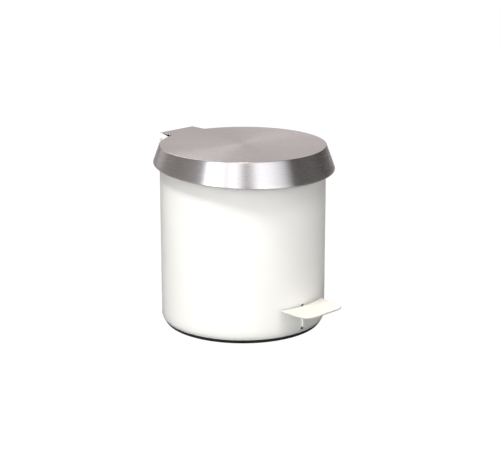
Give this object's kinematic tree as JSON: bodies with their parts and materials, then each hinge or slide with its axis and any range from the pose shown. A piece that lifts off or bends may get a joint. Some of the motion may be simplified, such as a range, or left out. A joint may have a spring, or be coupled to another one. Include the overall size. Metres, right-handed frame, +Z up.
{
  "type": "pedal trash can",
  "caption": "Round pedal trash can with a white painted steel casing, a flared brushed steel lid, a foot pedal that lifts the lid through a rod, and a lift-out bucket.",
  "frame": {"origin": "on the floor, at the centre of the base ring, on the casing's axis", "axes": "+Z up; -Y from the casing's axis towards the foot pedal; +Y towards the lid's hinge; +X to the right as seen from the pedal"},
  "size_m": [0.2076, 0.2457, 0.2084],
  "materials": {
    "white_paint": "gloss white enamel on sheet steel",
    "cream_paint": "satin warm white coating",
    "brushed_lid": "stainless steel, spun brushing in circles round the centre",
    "zinc_steel": "bright zinc plated",
    "spring_steel": "dark spring steel",
    "black_plastic": "moulded, fine grain",
    "grey_plastic": "natural moulded",
    "bucket_plastic": "moulded, satin",
    "rubber": "soft moulded"
  },
  "bodies": {
    "casing": {"casing_shell": "white_paint", "base_plate": "zinc_steel", "base_ring": "black_plastic", "base_screws": "zinc_steel", "pedal_bracket": "zinc_steel", "bracket_rivets": "zinc_steel", "pivot_pin": "zinc_steel", "pivot_clip": "spring_steel", "lower_rod_guide": "grey_plastic", "upper_rod_guide": "grey_plastic", "bucket_seat": "black_plastic", "hinge_bracket": "white_paint", "hinge_rivets": "zinc_steel", "hinge_pin": "white_paint", "hinge_pin_clip": "spring_steel"},
    "pedal": {"pedal_lever": "white_paint", "foot_plate": "cream_paint"},
    "rod": {"lift_rod": "zinc_steel", "rod_shoe": "grey_plastic", "rod_cap": "grey_plastic"},
    "lid": {"lid_shell": "brushed_lid", "lid_hinge_plate": "zinc_steel", "lid_buffers": "rubber"},
    "bucket": {"bucket": "bucket_plastic"},
    "bail": {"bucket_bail": "zinc_steel"}
  },
  "joints": [
    {"name": "lid_hinge", "type": "hinge", "parent": "casing", "child": "lid", "pos_m": [0, 0.109, 0.203], "axis": [-1, 0, 0], "range_deg": [0, 76]},
    {"name": "pedal_pivot", "type": "hinge", "parent": "casing", "child": "pedal", "pos_m": [0, -0.08, 0.014], "axis": [1, 0, 0], "range_deg": [0, 11.25]},
    {"name": "rod_slide", "type": "slide", "parent": "casing", "child": "rod", "axis": [0, 0, 1], "range_m": [0, 0.03325]},
    {"name": "bucket_lift", "type": "slide", "parent": "casing", "child": "bucket", "axis": [0, 0, 1], "range_m": [0, 0.006]},
    {"name": "bail_swing", "type": "hinge", "parent": "bucket", "child": "bail", "pos_m": [0, 0, 0.1918], "axis": [-1, 0, 0], "range_deg": [0, 5]}
  ],
  "couplings": [
    {"joint": "pedal_pivot", "follows": "lid_hinge", "ratio": 0.148},
    {"joint": "rod_slide", "follows": "lid_hinge", "m_per_rad": 0.025062}
  ]
}
